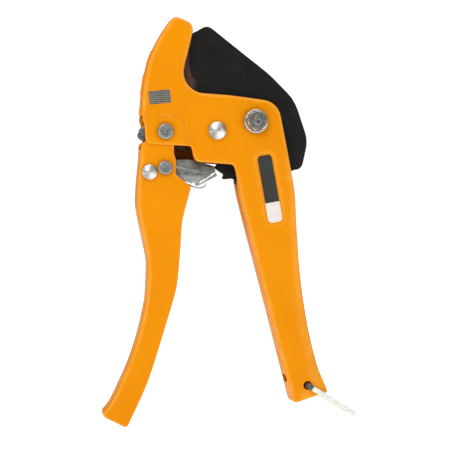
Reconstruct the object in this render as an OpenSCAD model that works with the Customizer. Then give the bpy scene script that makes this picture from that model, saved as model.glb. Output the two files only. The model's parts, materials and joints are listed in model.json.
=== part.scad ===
// Ratchet cutter for plastic pipe: two pressed shells, a swinging curved blade, a moving handle
// that drives the blade's teeth through a pawl, a release lever and a locking bail.
// Drawing frame: x to the right, y up, z towards the front face, origin on the blade pivot.
// The whole tool is turned upright at the end, with the front facing -Y.

/* [Body] */
// Width over the two flat shell faces
body_w = 18; // [17:0.5:20]
// Thickness of the pressed sheet
sheet = 1.5; // [1.2:0.1:1.7]
// How far the raised ear pads stand out of the shell faces
pad_rise = 1.8; // [1.8:0.1:2.4]
// Depth of the curled edge where the shells stay open
curl = 3.5; // [2.5:0.1:4.5]
// Widest half gap of the seam between the shells along the fixed handle
seam_gap = 3; // [2:0.1:3.5]

/* [Blade] */
// Blade thickness
blade_t = 2.5; // [2:0.1:2.8]
// Radius of the tips of the ratchet teeth
tooth_r = 36; // [35:0.1:36]
// Depth of the ratchet teeth
tooth_h = 2.4; // [1.5:0.1:2.6]
// Angle from one ratchet tooth to the next
tooth_pitch = 12; // [10:0.5:12]
// Number of ratchet teeth
tooth_count = 6; // [3:1:6]

/* [Pivots] */
// Diameter of the blade pivot bolt
bolt_d = 6; // [5:0.1:6]
// Diameter of the handle pivot pin
pin_d = 6; // [5:0.1:6]
// Diameter of the pawl pivot pin
pawl_pin_d = 5; // [4:0.1:5]
// Radial running clearance of the pivots
running = 0.05; // [0.02:0.01:0.1]

/* [Locking bail] */
// Distance from the bail's hinge to the middle of its far bar
bail_reach = 30.6; // [28:0.1:31]
// Width of the bail's strip
bail_w = 2.9; // [2.4:0.1:3]
// Thickness of the bail's strip
bail_t = 1.6; // [1.2:0.1:1.8]

/* [Hidden] */
$fn = 64;
half = body_w / 2;
pad_top = half + pad_rise;
gap = 0.3;
inner = half - sheet;

// Pivots, in the drawing frame
blade_pivot = [0, 0];
handle_pivot = [-50.4, -6.1];
pawl_pivot = [-50.3, -25.9];
anchor_rivet = [-58.8, -28.3];
stop_rivet = [-21.4, -5.3];
bail_pivot = [29.2, -146.1];

// Where the drawing's origin lies in the upright frame
origin_x = 13.6;
origin_y = 1.3;
origin_z = 167.4;

// Each corner of an outline is [x, y, corner radius]
back_corners = [
    [-61.1, -13, 3.5], [-61.7, -3, 5], [-62.7, 0.4, 1], [-62.8, 12, 60], [-59.9, 30, 50],
    [-56.6, 39, 40], [-51.2, 49, 40], [-45.2, 57.7, 3.2], [-33.7, 53.3, 5.5]
];
throat_corners = [[-42.7, 16.3, 11.5], [-14, 14.4, 40], [12.9, 11, 11]];
outer_corners = [[22.4, -39, 40], [23.3, -58, 80], [25.8, -87.5, 150], [32.1, -122.5, 150],
    [40.8, -150.2, 1.2]];
inner_corners = [[21.6, -156.4, 2.2], [15.2, -132.2, 200], [9.2, -109, 300], [-8.8, -40, 40],
    [-10.2, -31, 4], [-12.2, -23.9, 2.6], [-33.9, -22.3, 3.5], [-35.9, -13.9, 1.5]];
body_corners = concat(back_corners, throat_corners, outer_corners, inner_corners);

// Inner boundary of the raised ear pad, closed well outside the body's own outline
pad_corners = [[-70, 3.2, 0], [-40.4, 1.2, 4.2], [-38.2, -13.4, 0.5], [-38.2, -19, 0],
    [-70, -19, 0]];

// Region in which the shells have only a curled edge and no full flange
open_corners = [[-46.5, 62, 0], [32, 62, 0], [32, -31.5, 0], [-20, -33, 0], [-75, -33, 0],
    [-75, 2.9, 0], [-58, 2.9, 0], [-57, 24, 0], [-50, 44, 0]];

// Lower edge over the pawl, left without a curl
window_corners = [[-45, -8, 0], [-10, -8, 0], [-10, -29.5, 0], [-45, -29.5, 0]];
pad_wall_t = 0.8;

// Moving handle: the back edge carries the spine, the front edge stays open
spine_corners = [[-85.6, -161, 2.5], [-80.1, -155, 30], [-69, -131, 60], [-64, -115, 60],
    [-60.2, -98, 40], [-59.3, -77, 30], [-62.2, -63, 30], [-65.6, -46, 30], [-64.9, -33, 60],
    [-63.6, -20.5, 12], [-63.2, -12.6, 2.2]];
ear_corners = [[-57.6, -9.6, 6], [-56.4, -0.4, 6], [-45.2, -0.4, 6], [-44.9, -9, 6],
    [-45.4, -17.4, 2], [-44.2, -21.8, 2], [-44.3, -29.4, 1]];
grip_corners = [[-35.8, -36.2, 0.8], [-40.8, -55, 30], [-41.7, -70, 60], [-43.4, -91, 60],
    [-50.1, -113.5, 100], [-59.6, -143.7, 80], [-71.2, -168.1, 2]];
handle_corners = concat(spine_corners, ear_corners, grip_corners);

// Blade, back edge first, then round the hub and the ratchet prong
blade_corners = [[-31.6, 50.2, 3.5], [-25.8, 53.6, 4.5], [9.2, 26.6, 30], [23.4, 12.6, 25],
    [31, -10, 18]];
heel = [23.7, -21.9];
heel_r = 4.5;
belly_corners = [[-17.6, 3.4, 4], [-33, 9.8, 30], [-41.2, 21, 30], [-43.6, 33, 30],
    [-42.2, 45, 6]];
hub_r = 17.6;
slot_in = 18.7;
slot_out = 25.3;
prong_start = 229;
slot_end = 288;
first_tooth = 240;

// Drive pawl and release lever side plates
pawl_corners = [[-54.2, -30.2, 4], [-54.2, -21.4, 4], [-36, -21.1, 2], [-22.4, -24.6, 0.8],
    [-20.6, -30.1, 0.6], [-31.2, -35.6, 0.8], [-36, -33.4, 3]];
lever_corners = [[-64.6, -8.2, 1.8], [-63.4, -4.2, 1.6], [-50.4, 2.2, 7], [-42.4, -2.2, 6],
    [-38.6, -12.6, 4], [-35.6, -16.2, 0.6], [-38.6, -16.6, 4], [-50, -13.3, 9],
    [-63.4, -10.3, 1.4]];

// Outline helpers: unit vector, parallel copy and rounded corners
function unit(v) = v / norm(v);
function left_of(v) = [-v[1], v[0]];
function spot(p) = [p[0], p[1]];
function turn_at(c, i) =
    let (n = len(c), p = spot(c[i]), a = unit(p - spot(c[(i + n - 1) % n])),
         b = unit(spot(c[(i + 1) % n]) - p))
    a[0] * b[1] - a[1] * b[0];

// A clockwise outline moved inwards by d, with its corner radii kept parallel
function inset(c, d) = [
    for (i = [0 : len(c) - 1])
        let (n = len(c), p = spot(c[i]), a = unit(p - spot(c[(i + n - 1) % n])),
             b = unit(spot(c[(i + 1) % n]) - p), na = -left_of(a), nb = -left_of(b),
             m = (na + nb) / (1 + na * nb),
             r = c[i][2] + (turn_at(c, i) > 0 ? d : -d))
        [p[0] + d * m[0], p[1] + d * m[1], c[i][2] == 0 ? 0 : max(r, 0.3)]
];

// Points of an outline with every corner rounded by its own radius
function rounded(c) = [
    for (i = [0 : len(c) - 1])
        let (n = len(c), p = spot(c[i]), to_a = spot(c[(i + n - 1) % n]) - p,
             to_b = spot(c[(i + 1) % n]) - p, a = unit(to_a), b = unit(to_b),
             opening = acos(max(-1, min(1, a * b))) / 2,
             most = 0.49 * min(norm(to_a), norm(to_b)) * tan(opening),
             r = min(c[i][2], most), bend = 180 - 2 * opening)
        each r < 0.05 || bend < 0.5 ? [p] :
            let (centre = p + unit(a + b) * r / sin(opening), from = p + a * r / tan(opening) - centre,
                 side = turn_at(c, i) > 0 ? 1 : -1, steps = max(1, ceil(bend / 9)))
            [for (k = [0 : steps])
                let (t = side * bend * k / steps)
                centre + [from[0] * cos(t) - from[1] * sin(t), from[0] * sin(t) + from[1] * cos(t)]]
];

function on_circle(r, a) = [r * cos(a), r * sin(a)];

// Tube swept along points, for the coils of the springs
module swept_wire(points, r, sides = 6) {
    n = len(points);
    ring = [for (i = [0 : n - 1])
        let (t = unit(points[min(i + 1, n - 1)] - points[max(i - 1, 0)]),
             u = unit(cross(t, abs(t[2]) > 0.9 ? [1, 0, 0] : [0, 0, 1])), v = cross(t, u))
        each [for (k = [0 : sides - 1])
            points[i] + r * (u * cos(360 * k / sides) + v * sin(360 * k / sides))]];
    wall = [for (i = [0 : n - 2], k = [0 : sides - 1])
        let (a = i * sides + k, b = i * sides + (k + 1) % sides)
        [a, a + sides, b + sides, b]];
    first = [for (k = [0 : sides - 1]) k];
    last = [for (k = [sides - 1 : -1 : 0]) (n - 1) * sides + k];
    polyhedron(ring, concat([first], wall, [last]), convexity = 10);
}

module plate(corners, low, high) {
    translate([0, 0, low]) linear_extrude(high - low) polygon(rounded(corners));
}

module rod(at, r, low, high) {
    translate([at[0], at[1], low]) cylinder(r = r, h = high - low);
}

module tube(at, r_out, r_in, low, high) {
    difference() {
        rod(at, r_out, low, high);
        rod(at, r_in, low - 1, high + 1);
    }
}

// Turns the drawing frame upright
module upright() {
    translate([origin_x, origin_y, origin_z]) rotate([90, 0, 0]) children();
}

// --- Shells ---

module pad_wall() {
    intersection() {
        difference() {
            plate(pad_corners, inner, pad_top);
            plate(inset(pad_corners, pad_wall_t), inner - 1, pad_top - sheet);
        }
        plate(body_corners, inner, pad_top);
        plate([[-70, 10, 0], [-30, 10, 0], [-30, -13.6, 0], [-70, -13.6, 0]], inner, pad_top);
    }
}

module pad_plate() {
    intersection() {
        plate(pad_corners, pad_top - sheet, pad_top);
        plate(body_corners, pad_top - sheet, pad_top);
    }
}

// Pressed tray of one shell, before its holes
module shell_tray() {
    difference() {
        plate(body_corners, gap / 2, half);
        plate(inset(body_corners, sheet), -1, inner);
        plate(open_corners, -1, half - curl);
        plate(window_corners, -1, inner);
        plate(inset(pad_corners, pad_wall_t / 2), -1, half + 1);
        seam_taper();
        translate([10, -146.6, -1]) cube([8.7, 5, 5.3]);
    }
    pad_wall();
    pad_plate();
}

// Wedge that widens the seam between the two inner flanges towards the top
module seam_taper() {
    translate([-20, 0, 0]) rotate([90, 0, 90]) linear_extrude(32)
        polygon([[-30, -1], [-30, seam_gap], [-33, seam_gap], [-78, gap / 2], [-78, -1]]);
}

module shell_holes() {
    rod(blade_pivot, bolt_d / 2 + running, -1, pad_top + 1);
    rod(handle_pivot, pin_d / 2, -1, pad_top + 1);
    rod(stop_rivet, 2.5, -1, pad_top + 1);
    rod(bail_pivot, 2.4, -1, pad_top + 1);
}

label_centre = [8, -37.2];
label_lean = 10.2;
label_w = 8;
label_l = 37.5;
label_step = 0.35;

module label_outline(grow) {
    r = 2.2 + grow;
    w = label_w / 2 + grow;
    l = label_l / 2 + grow;
    corners = [[-w, -l, r], [-w, l, r], [w, l, r], [w, -l, r]];
    translate(label_centre) rotate(label_lean) polygon(rounded(corners));
}

module front_shell() {
    color([0.96, 0.58, 0.06]) upright() difference() {
        shell_tray();
        shell_holes();
        translate([0, 0, half - label_step]) linear_extrude(1) label_outline(0.8);
    }
}

module rear_shell() {
    color([0.96, 0.58, 0.06]) upright() mirror([0, 0, 1]) difference() {
        shell_tray();
        shell_holes();
    }
}

// Weld beads along the seam at the back of the jaw: [lower end, upper end] heights
weld_spans = [[2.4, 8.2], [13.4, 26.6], [30.6, 39.6]];
weld_r = 1.5;

function back_edge_x(y) =
    y < 12 ? -62.45 : y < 30 ? -62.45 + 2.9 * (y - 12) / 18 : -59.55 + 3.3 * (y - 30) / 9;

module seam_weld(n) {
    low = weld_spans[n][0];
    high = weld_spans[n][1];
    bottom = [back_edge_x(low), low];
    top = [back_edge_x(high), high];
    lean = atan2(bottom[0] - top[0], top[1] - bottom[1]);
    length = norm(top - bottom);
    color([0.93, 0.52, 0.05]) upright() difference() {
        translate([bottom[0], bottom[1], 0]) rotate([0, 0, lean]) rotate([-90, 0, 0]) union() {
            translate([0, 0, weld_r]) cylinder(r = weld_r, h = length - 2 * weld_r);
            for (z = [weld_r, length - weld_r]) translate([0, 0, z]) sphere(r = weld_r);
        }
        plate(body_corners, -half, half);
    }
}

module seam_weld_low() { seam_weld(0); }
module seam_weld_middle() { seam_weld(1); }
module seam_weld_top() { seam_weld(2); }

// --- Label and sticker ---

module label_dark() {
    color([0.16, 0.16, 0.15]) upright() intersection() {
        translate([0, 0, half - label_step]) linear_extrude(0.15) label_outline(0);
        translate(label_centre) rotate(label_lean) translate([-10, -7.6, 0]) cube([20, 40, 20]);
    }
}

module label_pale() {
    color([0.91, 0.88, 0.85]) upright() difference() {
        translate([0, 0, half - label_step]) linear_extrude(0.15) label_outline(0);
        translate(label_centre) rotate(label_lean) translate([-10, -7.6, 0]) cube([20, 40, 20]);
    }
}

module small_sticker() {
    color([0.40, 0.40, 0.38]) upright() translate([-53.3, 12.8, half]) rotate(7)
        linear_extrude(0.12) polygon(rounded([[-5.9, -3.6, 0.7], [-5.9, 3.6, 0.7],
            [5.9, 3.6, 0.7], [5.9, -3.6, 0.7]]));
}

// --- Blade pivot ---

module hexagon(af, low, high) {
    translate([0, 0, low]) cylinder(r = af / sqrt(3), h = high - low, $fn = 6);
}

module blade_pivot_bolt() {
    color([0.62, 0.62, 0.58]) upright() {
        rod(blade_pivot, bolt_d / 2, -half - 1, half + 7.6);
        rod(blade_pivot, 6.7, -half - 1.4, -half);
        hexagon(10, -half - 5, -half - 1.4);
    }
}

module blade_pivot_nut() {
    color([0.58, 0.58, 0.54]) upright() difference() {
        union() {
            rod(blade_pivot, 6.7, half, half + 1.4);
            translate([0, 0, half + 1.4]) cylinder(r1 = 6.2, r2 = 5.4, h = 0.9);
            rotate(12) intersection() {
                hexagon(10, half + 1.4, half + 6.4);
                translate([0, 0, half + 1]) cylinder(r1 = 7.6, r2 = 4.9, h = 5.4);
            }
        }
        rod(blade_pivot, bolt_d / 2, half - 1, half + 9);
    }
}

module pivot_sleeve(side) {
    low = side > 0 ? blade_t / 2 + 0.15 : -inner;
    high = side > 0 ? inner : -blade_t / 2 - 0.15;
    color([0.66, 0.66, 0.63]) upright() tube(blade_pivot, 7.5, bolt_d / 2 + running, low, high);
}

module blade_sleeve_front() { pivot_sleeve(1); }
module blade_sleeve_rear() { pivot_sleeve(-1); }

// --- Rivets ---

module rivet(at, shank_r, head_r, head_h, dome, low, high) {
    rod(at, shank_r, low, high);
    for (side = [0, 1]) translate([at[0], at[1], side * high + (1 - side) * low])
        rotate([0, side * 180 + 180, 0]) rivet_head(head_r, head_h, dome);
}

// A head is a flat disc with a rounded rim, or a shallow dome
module rivet_head(r, h, dome) {
    rim = dome ? 0.5 : h - 0.6;
    ball = (r * r + (h - rim) * (h - rim)) / (2 * (h - rim));
    cylinder(r = r, h = rim);
    if (dome) intersection() {
        translate([0, 0, h - ball]) sphere(r = ball, $fn = 96);
        translate([0, 0, rim / 2]) cylinder(r = r, h = h);
    }
    else translate([0, 0, rim]) cylinder(r1 = r, r2 = r - 0.6, h = 0.6);
}

module handle_pivot_pin() {
    color([0.55, 0.56, 0.54]) upright()
        rivet(handle_pivot, pin_d / 2, 4.3, 1.7, false, -pad_top, pad_top);
}

module stop_rivet_pin() {
    color([0.80, 0.80, 0.77]) upright()
        rivet(stop_rivet, 2.5, 4.9, 2.3, true, -half, half);
}

module stop_sleeve() {
    color([0.60, 0.60, 0.57]) upright() {
        tube(stop_rivet, 2.9, 2.5, -inner, inner);
    }
}

module pawl_pivot_pin() {
    color([0.55, 0.56, 0.54]) upright()
        rivet(pawl_pivot, pawl_pin_d / 2, 3.9, 1.5, false, -half, half);
}

module spring_anchor_rivet() {
    color([0.80, 0.80, 0.77]) upright()
        rivet(anchor_rivet, 2.2, 4.2, 2.1, true, -half, half);
}

plate_in = 1.6;
plate_out = 2.8;

module pivot_spacer(side) {
    low = side > 0 ? plate_out + 0.2 : -pad_top + sheet;
    high = side > 0 ? pad_top - sheet : -plate_out - 0.2;
    color([0.66, 0.66, 0.63]) upright() tube(handle_pivot, 3.9, pin_d / 2, low, high);
}

module handle_sleeve_front() { pivot_spacer(1); }
module handle_sleeve_rear() { pivot_spacer(-1); }

module pawl_spacer(side) {
    low = side > 0 ? plate_out + 0.2 : -inner + 1.4;
    high = side > 0 ? inner : -plate_out - 0.2;
    color([0.66, 0.66, 0.63]) upright() tube(pawl_pivot, 3.4, pawl_pin_d / 2, low, high);
}

module pawl_spacer_front() { pawl_spacer(1); }
module pawl_spacer_rear() { pawl_spacer(-1); }

module anchor_sleeve() {
    color([0.60, 0.60, 0.57]) upright() tube(anchor_rivet, 2.9, 2.2, -inner + 1.4, inner);
}

// --- Blade ---

// Saw-tooth rim of the ratchet, steep faces towards the pawl
ratchet_points = [
    for (i = [0 : tooth_count - 1])
        let (a = first_tooth + i * tooth_pitch)
        each [on_circle(tooth_r - tooth_h, a), on_circle(tooth_r, a + 0.8),
              on_circle(tooth_r - 0.2, a + 3), on_circle(tooth_r - tooth_h + 0.2, a + 8.5)]
];

// Unrounded points along an arc
function arc(at, r, from, to, steps) = [
    for (i = [0 : steps]) concat(at + on_circle(r, from + (to - from) * i / steps), 0)
];

// One closed outline: back edge, heel, teeth, slot under the prong, hub and belly
module blade_outline() {
    teeth = [for (i = [len(ratchet_points) - 1 : -1 : 0]) concat(ratchet_points[i], 0)];
    polygon(rounded(concat(
        blade_corners,
        arc(heel, heel_r, -12.6, -90, 6),
        [[21.2, -27.2, 0.3]],
        teeth,
        arc(blade_pivot, tooth_r - tooth_h, first_tooth - 3, prong_start, 3),
        arc(blade_pivot, slot_out, prong_start, slot_end, 12),
        arc(blade_pivot, slot_in, slot_end, prong_start, 12),
        arc(blade_pivot, hub_r, prong_start - 7, 180, 8),
        belly_corners)));
}

// Ground bevel along the belly edge, on both faces
bevel_w = 5.5;

module bevel_cut() {
    edge = rounded(concat([[-24, 62, 0]], [for (i = [4 : -1 : 1]) belly_corners[i]],
        [[-22, 4, 0]]));
    for (i = [0 : len(edge) - 2]) bevel_facet(edge[i], edge[i + 1]);
}

// One straight stretch of the bevel, a wedge that leaves a thin edge
module bevel_facet(a, b) {
    run = b - a;
    translate([a[0], a[1], 0]) rotate(atan2(run[1], run[0])) rotate([90, 0, 90])
        translate([0, 0, -1.2]) linear_extrude(norm(run) + 2.4)
            polygon([[-3, 0.15], [0, 0.15], [bevel_w, blade_t / 2], [bevel_w, 3], [-3, 3]]);
}

module cutting_blade() {
    color([0.15, 0.15, 0.14]) upright() difference() {
        translate([0, 0, -blade_t / 2]) linear_extrude(blade_t) blade_outline();
        rod(blade_pivot, 5, -5, 5);
        bevel_cut();
        mirror([0, 0, 1]) bevel_cut();
    }
}

module blade_bush() {
    color([0.72, 0.55, 0.30]) upright()
        tube(blade_pivot, 5, bolt_d / 2 + running, -blade_t / 2, blade_t / 2);
}

// --- Moving handle ---

module moving_handle() {
    spine_inner = inset(handle_corners, sheet);
    hollow = concat([[-70, -175, 0], [-79.5, -175, 0]],
        [for (i = [0 : len(spine_corners) - 2]) spine_inner[i]],
        [[-61, -16, 0], [-72, -16, 0], [-72, 12, 0], [-20, 12, 0], [-20, -175, 0]]);
    color([0.96, 0.58, 0.06]) upright() difference() {
        plate(handle_corners, -half, half);
        plate(hollow, -inner, inner);
        rod(handle_pivot, 3.9 + running, -half - 1, half + 1);
        rod(pawl_pivot, pawl_pin_d / 2, -half - 1, half + 1);
        rod(anchor_rivet, 2.2, -half - 1, half + 1);
    }
}

// Inner cheek of the moving handle behind the pawl, held by the two lower rivets
guard_corners = [[-62.4, -31.6, 3], [-61.6, -22, 3], [-54, -15.5, 3], [-47, -13.6, 3],
    [-33.6, -13.6, 3], [-32.4, -24, 3], [-46, -32.5, 4]];

module pawl_guard() {
    color([0.50, 0.22, 0.05]) upright() difference() {
        plate(guard_corners, -inner + 0.3, -inner + 1.4);
        rod(pawl_pivot, pawl_pin_d / 2, -half, half);
        rod(anchor_rivet, 2.2, -half, half);
    }
}

// --- Drive pawl and release lever: folded channels that straddle the blade ---

module drive_pawl() {
    color([0.68, 0.69, 0.67]) upright() difference() {
        union() {
            for (side = [0, 1]) mirror([0, 0, side]) plate(pawl_corners, plate_in, plate_out);
            intersection() {
                plate(pawl_corners, -plate_out, plate_out);
                translate([-31.6, -37.2, 0]) rotate(27.4) translate([0, 0, -4]) cube([11.9, 2.3, 8]);
            }
        }
        rod(pawl_pivot, pawl_pin_d / 2 + running, -4, 4);
        translate([-33.2, -34.6, -4]) cylinder(r = 1.1, h = 8);
    }
}

module release_lever() {
    color([0.66, 0.67, 0.65]) upright() difference() {
        union() {
            for (side = [0, 1]) mirror([0, 0, side]) plate(lever_corners, plate_in, plate_out);
            intersection() {
                difference() {
                    plate(lever_corners, -plate_out, plate_out);
                    plate(inset(lever_corners, 1.2), -4, 4);
                }
                translate([-66, -20, -4]) cube([31, 13.2, 8]);
            }
        }
        rod(handle_pivot, pin_d / 2 + running, -4, 4);
    }
}

// --- Springs ---

// Helix round a pivot, from one angle through a signed sweep
function coil(at, r, low, high, start, sweep) =
    let (steps = round(abs(sweep) / 24))
    [for (i = [0 : steps])
        let (a = start + sweep * i / steps)
        [at[0] + r * cos(a), at[1] + r * sin(a), low + (high - low) * i / steps]];

module handle_return_spring() {
    wire = coil(handle_pivot, 5.4, 3.7, 6.6, 180, -810);
    color([0.55, 0.55, 0.53]) upright() swept_wire(concat(
        [[-61.4, -22, 3.7], [-57.4, -13, 3.7]], wire, [[-46, -0.7, 6.6], [-40.8, -0.7, 6.6]]), 0.6);
}

module lever_spring() {
    wire = coil(handle_pivot, 5.1, -3.5, -5.4, 270, -900);
    color([0.60, 0.60, 0.58]) upright() swept_wire(concat(
        [[-39.6, -12.6, -3.5], [-45, -11.4, -3.5]], wire, [[-46, -1, -5.4], [-42, -1.2, -5.4]]), 0.3);
}

module pawl_spring() {
    wire = coil(pawl_pivot, 4.4, -3.6, -5.6, 270, -720);
    color([0.60, 0.60, 0.58]) upright() swept_wire(concat(
        [[-26.6, -34.2, -2.2], [-26.4, -35.4, -2.2], [-28.6, -36.6, -2.4], [-32, -36.4, -3.4],
         [-40, -33, -3.6], [-46, -30.6, -3.6]], wire,
        [[-55, -31.6, -5.6], [-60.4, -31.8, -5.6]]), 0.45);
}

// --- Locking bail ---

module locking_bail() {
    leg = half + 0.4;
    top = leg + bail_t;
    color([0.74, 0.75, 0.73]) upright() translate([bail_pivot[0], bail_pivot[1], 0]) rotate(-31.5) {
        for (side = [0, 1]) mirror([0, 0, side]) {
            translate([0, 0, inner - 1]) cylinder(r = bail_w / 2, h = bail_t + leg - inner + 1);
            translate([0, -bail_w / 2, leg]) cube([bail_reach + 0.8, bail_w, bail_t]);
        }
        translate([bail_reach - 0.8, -bail_w / 2, -top]) cube([1.6, bail_w, 2 * top]);
    }
}

front_shell();
rear_shell();
seam_weld_low();
seam_weld_middle();
seam_weld_top();
label_dark();
label_pale();
small_sticker();
blade_pivot_bolt();
blade_pivot_nut();
blade_sleeve_front();
blade_sleeve_rear();
handle_pivot_pin();
handle_sleeve_front();
handle_sleeve_rear();
stop_rivet_pin();
stop_sleeve();
handle_return_spring();
lever_spring();
cutting_blade();
blade_bush();
moving_handle();
pawl_guard();
pawl_pivot_pin();
pawl_spacer_front();
pawl_spacer_rear();
spring_anchor_rivet();
anchor_sleeve();
pawl_spring();
drive_pawl();
release_lever();
locking_bail();
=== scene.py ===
"""Looks for the ratchet pipe cutter: pressed painted shells, rivets, blade, pawl, bail and studio."""
import json
import math

import bmesh
import bpy
import numpy as np
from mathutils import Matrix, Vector
from mathutils.bvhtree import BVHTree
from mathutils.geometry import delaunay_2d_cdt


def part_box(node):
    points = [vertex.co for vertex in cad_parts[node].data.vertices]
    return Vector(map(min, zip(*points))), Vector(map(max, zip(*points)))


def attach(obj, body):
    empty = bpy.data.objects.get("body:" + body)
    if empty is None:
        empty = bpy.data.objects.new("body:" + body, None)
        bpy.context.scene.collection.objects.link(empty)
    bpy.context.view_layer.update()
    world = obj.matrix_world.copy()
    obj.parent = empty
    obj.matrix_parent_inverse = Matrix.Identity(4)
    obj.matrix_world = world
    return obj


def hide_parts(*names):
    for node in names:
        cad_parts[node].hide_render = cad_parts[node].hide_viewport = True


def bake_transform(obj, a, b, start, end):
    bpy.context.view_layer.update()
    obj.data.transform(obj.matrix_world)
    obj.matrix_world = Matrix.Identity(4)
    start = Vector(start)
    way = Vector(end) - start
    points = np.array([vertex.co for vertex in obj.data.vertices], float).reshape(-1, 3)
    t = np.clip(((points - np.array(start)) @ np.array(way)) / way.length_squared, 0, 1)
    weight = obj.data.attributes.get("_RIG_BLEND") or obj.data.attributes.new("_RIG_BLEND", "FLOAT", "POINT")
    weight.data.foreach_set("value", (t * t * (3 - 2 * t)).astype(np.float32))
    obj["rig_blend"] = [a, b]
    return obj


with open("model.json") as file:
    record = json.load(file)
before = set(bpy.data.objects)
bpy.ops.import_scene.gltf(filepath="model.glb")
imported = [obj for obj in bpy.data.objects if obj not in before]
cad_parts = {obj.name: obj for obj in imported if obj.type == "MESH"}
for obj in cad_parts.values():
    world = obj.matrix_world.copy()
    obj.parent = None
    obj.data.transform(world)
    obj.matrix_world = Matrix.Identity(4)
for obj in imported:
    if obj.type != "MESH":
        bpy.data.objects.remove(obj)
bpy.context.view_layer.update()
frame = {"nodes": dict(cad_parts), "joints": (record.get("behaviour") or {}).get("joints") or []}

MM = 0.001
NODES = frame["nodes"]
PIVOT = {j["name"]: Vector(j["pos_m"]) for j in frame["joints"]}
ORIGIN = PIVOT["blade_pivot"]
BACKWARDS = Vector((0, 1, 0))


# --- The drawing plane: x to the right, y up, t out of the front face, in mm from the blade pivot ---

def row(x, y, t):
    """A point of the drawing plane, in the frame's metres."""
    return Vector((ORIGIN.x + x * MM, ORIGIN.y - t * MM, ORIGIN.z + y * MM))


def flat(point):
    """The drawing plane's x and y of a point in metres."""
    return np.array([(point.x - ORIGIN.x) / MM, (point.z - ORIGIN.z) / MM])


def depth_of(point):
    return (ORIGIN.y - point.y) / MM


def middle(node):
    low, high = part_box(node)
    return flat((low + high) / 2)


def front_of(node):
    return depth_of(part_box(node)[0])


def rear_of(node):
    return depth_of(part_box(node)[1])


def cad_tree(node):
    bm = bmesh.new()
    bm.from_mesh(NODES[node].data)
    tree = BVHTree.FromBMesh(bm)
    bm.free()
    return tree


# --- Outlines read from the flat faces of a CAD node ---

KEYS_PER_MM = 1000


def key(point):
    """A point's place in the drawing plane, rounded so that equal corners compare equal."""
    return tuple(int(round(v * KEYS_PER_MM)) for v in flat(point))


def segments(edges):
    """Starts and ends of edges between keys, as arrays in mm."""
    return [np.array([e[k] for e in edges], float) / KEYS_PER_MM for k in (0, 1)]


def face_edges(node, level):
    """Directed edges of the triangles that face the front at one depth."""
    mesh = NODES[node].data
    edges = []
    for poly in mesh.polygons:
        corners = [mesh.vertices[i].co for i in poly.vertices]
        if poly.normal.y > -0.9 or any(abs(depth_of(c) - level) > 0.02 for c in corners):
            continue
        keys = [key(c) for c in corners]
        edges += list(zip(keys, keys[1:] + keys[:1]))
    return edges


def border(edges):
    """Edges that only one of the triangles has."""
    seen = set(edges)
    return [e for e in edges if (e[1], e[0]) not in seen and e[0] != e[1]]


def loops_of(edges):
    """Closed loops of the edges, largest area first, as arrays in mm."""
    after = {}
    for a, b in edges:
        after.setdefault(a, []).append(b)
    loops = []
    while after:
        start = next(iter(after))
        loop = [start]
        here = start
        while here in after:
            nxt = after[here].pop()
            if not after[here]:
                del after[here]
            here = nxt
            if here == start:
                break
            loop.append(here)
        if len(loop) > 2:
            loops.append(np.array(loop, float) / KEYS_PER_MM)
    return sorted(loops, key=lambda p: -abs(area(p)))


def area(p):
    q = np.roll(p, -1, axis=0)
    return 0.5 * np.sum(p[:, 0] * q[:, 1] - p[:, 1] * q[:, 0])


def counter_clockwise(p):
    return p if area(p) > 0 else p[::-1]


def smooth_loop(points, step, sharp=24):
    """Points at an even step on a centripetal spline through a closed loop, sharp at its hard corners."""
    p = points[np.hypot(*(points - np.roll(points, 1, axis=0)).T) > 0.02]
    n = len(p)
    ways = np.roll(p, -1, axis=0) - p
    lengths = np.hypot(*ways.T)
    heads = np.degrees(np.arctan2(ways[:, 1], ways[:, 0]))
    bends = np.abs((heads - np.roll(heads, 1) + 180) % 360 - 180)
    out = []
    for i in range(n):
        p1, p2 = p[i], p[(i + 1) % n]
        p0 = p[i - 1] if bends[i] < sharp else p1 - ways[i]
        p3 = p[(i + 2) % n] if bends[(i + 1) % n] < sharp else p2 + ways[i]
        count = max(1, int(round(lengths[i] / step)))
        for k in range(count):
            out.append(spline_point([p0, p1, p2, p3], k / count))
    return np.array(out)


def between(p, q, low, high, t):
    return (high - t) / (high - low) * p + (t - low) / (high - low) * q


def spline_point(points, u):
    """A point between the middle two of four points, on their centripetal spline."""
    knots = [0]
    for p, q in zip(points, points[1:]):
        knots.append(knots[-1] + math.sqrt(max(np.hypot(*(q - p)), 1e-6)))
    t = knots[1] + u * (knots[2] - knots[1])
    for span in (1, 2):
        points = [between(points[i], points[i + 1], knots[i], knots[i + span], t) for i in range(4 - span)]
    return between(*points, knots[1], knots[2], t)


def even_loop(points, step):
    """A loop resampled at one even step."""
    closed = np.vstack([points, points[:1]])
    along = np.concatenate([[0], np.cumsum(np.hypot(*np.diff(closed, axis=0).T))])
    count = max(8, int(round(along[-1] / step)))
    at = np.linspace(0, along[-1], count, endpoint=False)
    return np.column_stack([np.interp(at, along, closed[:, 0]), np.interp(at, along, closed[:, 1])])


def inward(p):
    """Unit normals pointing into a counter-clockwise loop."""
    t = np.roll(p, -1, axis=0) - np.roll(p, 1, axis=0)
    n = np.column_stack([-t[:, 1], t[:, 0]])
    return n / np.maximum(np.hypot(*n.T), 1e-9)[:, None]


def room(p, normals):
    """Radius of the largest circle inside a loop that touches it at each point."""
    gap = p[None, :, :] - p[:, None, :]
    along = np.einsum("ijk,ik->ij", gap, normals)
    square = np.sum(gap * gap, axis=2)
    radius = np.where(along > 1e-6, square / np.maximum(2 * along, 1e-9), 1e9)
    radius[square < 0.25] = 1e9
    return radius.min(axis=1)


def softened(values, width):
    """A running minimum followed by a running mean, round a loop."""
    lowest = values.copy()
    for k in range(-width, width + 1):
        lowest = np.minimum(lowest, np.roll(values, k))
    return sum(np.roll(lowest, k) for k in range(-width, width + 1)) / (2 * width + 1)


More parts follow.
